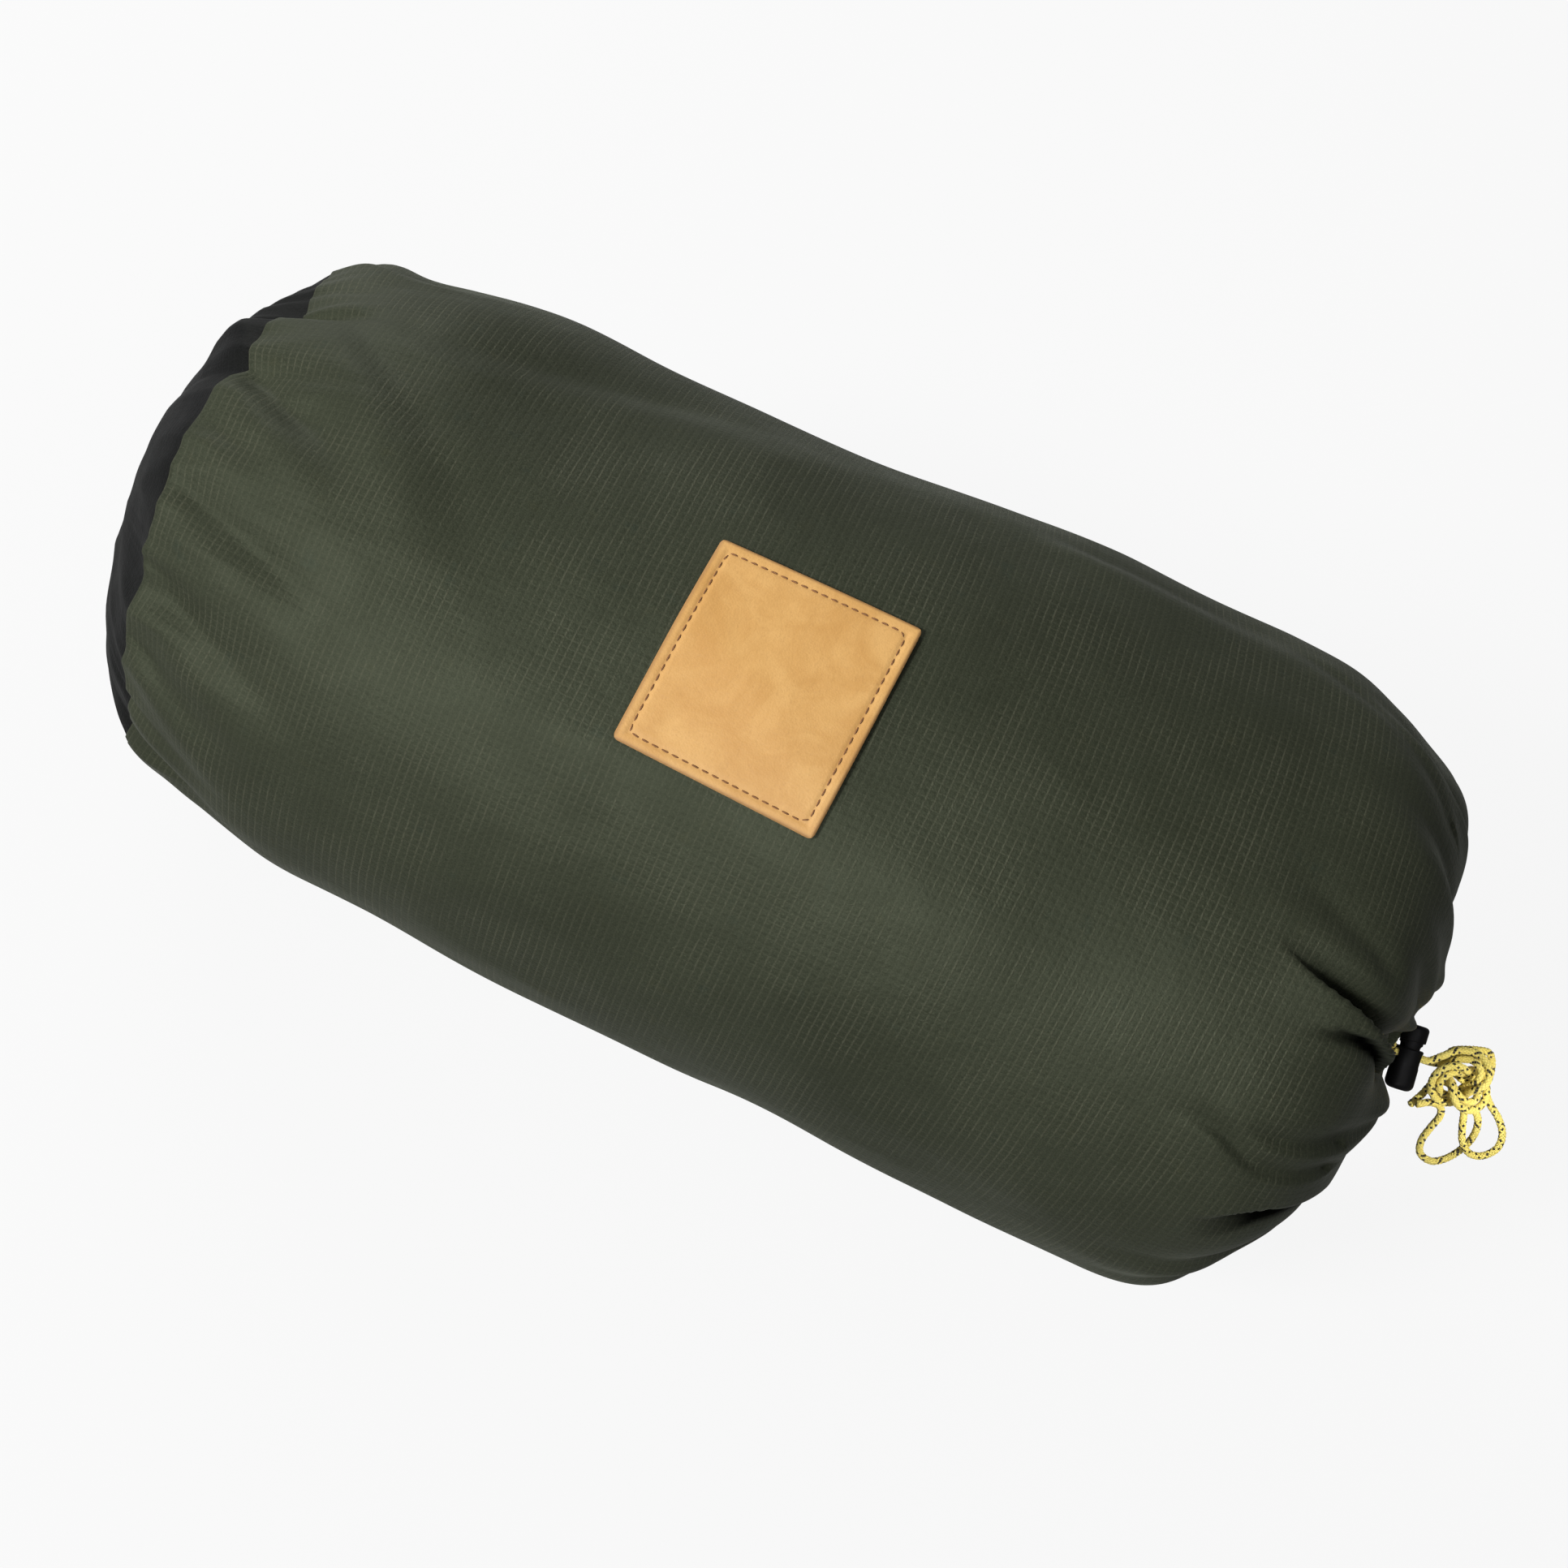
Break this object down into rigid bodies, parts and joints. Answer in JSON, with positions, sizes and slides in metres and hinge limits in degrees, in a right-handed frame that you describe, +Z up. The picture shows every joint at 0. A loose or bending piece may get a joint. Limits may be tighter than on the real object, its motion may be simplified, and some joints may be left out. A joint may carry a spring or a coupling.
{
  "type": "camping tent",
  "caption": "Camping tent packed in a round stuff sack with a bare leather patch; a push-button lock holds the knotted drawcord, and rolled fabric, folded poles and pegs lie inside.",
  "frame": {"origin": "on the floor, under the middle of the packed tent's length from its base to its cord lock, leaving out the free cord", "axes": "+X runs along the sack from its sewn base to its drawn mouth, +Z is up, and the leather patch is on the upper -Y side"},
  "size_m": [0.5653, 0.243, 0.231],
  "materials": {
    "ripstop": "dark olive-green coated ripstop nylon with a soft sheen",
    "base_fabric": "black coated nylon, creased",
    "leather": "natural tan leather, bare, with a brown stitched edge",
    "cord": "braided yellow cord with dark flecks",
    "black_plastic": "black moulded plastic, satin",
    "steel": "bright spring wire",
    "inner_fabric": "rolled light tent fabric",
    "webbing": "woven black webbing",
    "elastic": "black covered elastic",
    "pole_alloy": "gold anodised tube",
    "peg_alloy": "bare alloy"
  },
  "bodies": {
    "sack": {"drawcord_in_hem": "cord", "drawcord_tail_lower": "cord", "drawcord_tail_upper": "cord", "flysheet_roll": "inner_fabric", "guy_line_hank": "cord", "inner_tent_roll": "inner_fabric", "leather_patch": "leather", "peg_bag": "ripstop", "pole_1_section_1": "pole_alloy", "pole_1_section_2": "pole_alloy", "pole_1_section_3": "pole_alloy", "pole_1_section_4": "pole_alloy", "pole_1_section_5": "pole_alloy", "pole_1_section_6": "pole_alloy", "pole_1_shock_cord": "elastic", "pole_1_tip_first": "peg_alloy", "pole_1_tip_last": "peg_alloy", "pole_2_section_1": "pole_alloy", "pole_2_section_2": "pole_alloy", "pole_2_section_3": "pole_alloy", "pole_2_section_4": "pole_alloy", "pole_2_section_5": "pole_alloy", "pole_2_section_6": "pole_alloy", "pole_2_shock_cord": "elastic", "pole_2_tip_first": "peg_alloy", "pole_2_tip_last": "peg_alloy", "pole_3_section_1": "pole_alloy", "pole_3_section_2": "pole_alloy", "pole_3_section_3": "pole_alloy", "pole_3_section_4": "pole_alloy", "pole_3_section_5": "pole_alloy", "pole_3_section_6": "pole_alloy", "pole_3_shock_cord": "elastic", "pole_3_tip_first": "peg_alloy", "pole_3_tip_last": "peg_alloy", "pole_bag": "ripstop", "pole_repair_sleeve": "pole_alloy", "roll_strap_base_end": "webbing", "roll_strap_mouth_end": "webbing", "sack_base": "base_fabric", "sack_hem": "ripstop", "sack_tube": "ripstop", "tent_peg_01": "peg_alloy", "tent_peg_02": "peg_alloy", "tent_peg_03": "peg_alloy", "tent_peg_04": "peg_alloy", "tent_peg_05": "peg_alloy", "tent_peg_06": "peg_alloy", "tent_peg_07": "peg_alloy", "tent_peg_08": "peg_alloy", "tent_peg_09": "peg_alloy", "tent_peg_10": "peg_alloy", "tent_peg_11": "peg_alloy", "tent_peg_12": "peg_alloy"},
    "cord_lock": {"cord_lock_barrel": "black_plastic", "cord_lock_spring": "steel"},
    "plunger": {"cord_lock_plunger": "black_plastic"}
  },
  "joints": [
    {"name": "lock_slide", "type": "slide", "parent": "sack", "child": "cord_lock", "axis": [0.9893, 0.1197, 0.0838], "range_m": [0, 0.002]},
    {"name": "plunger_press", "type": "slide", "parent": "cord_lock", "child": "plunger", "axis": [0.1461, -0.8104, -0.5674], "range_m": [0, 0.0024], "stiffness_N_per_m": 800, "springref_m": -0.002, "deforming": ["cord_lock_spring"]}
  ]
}
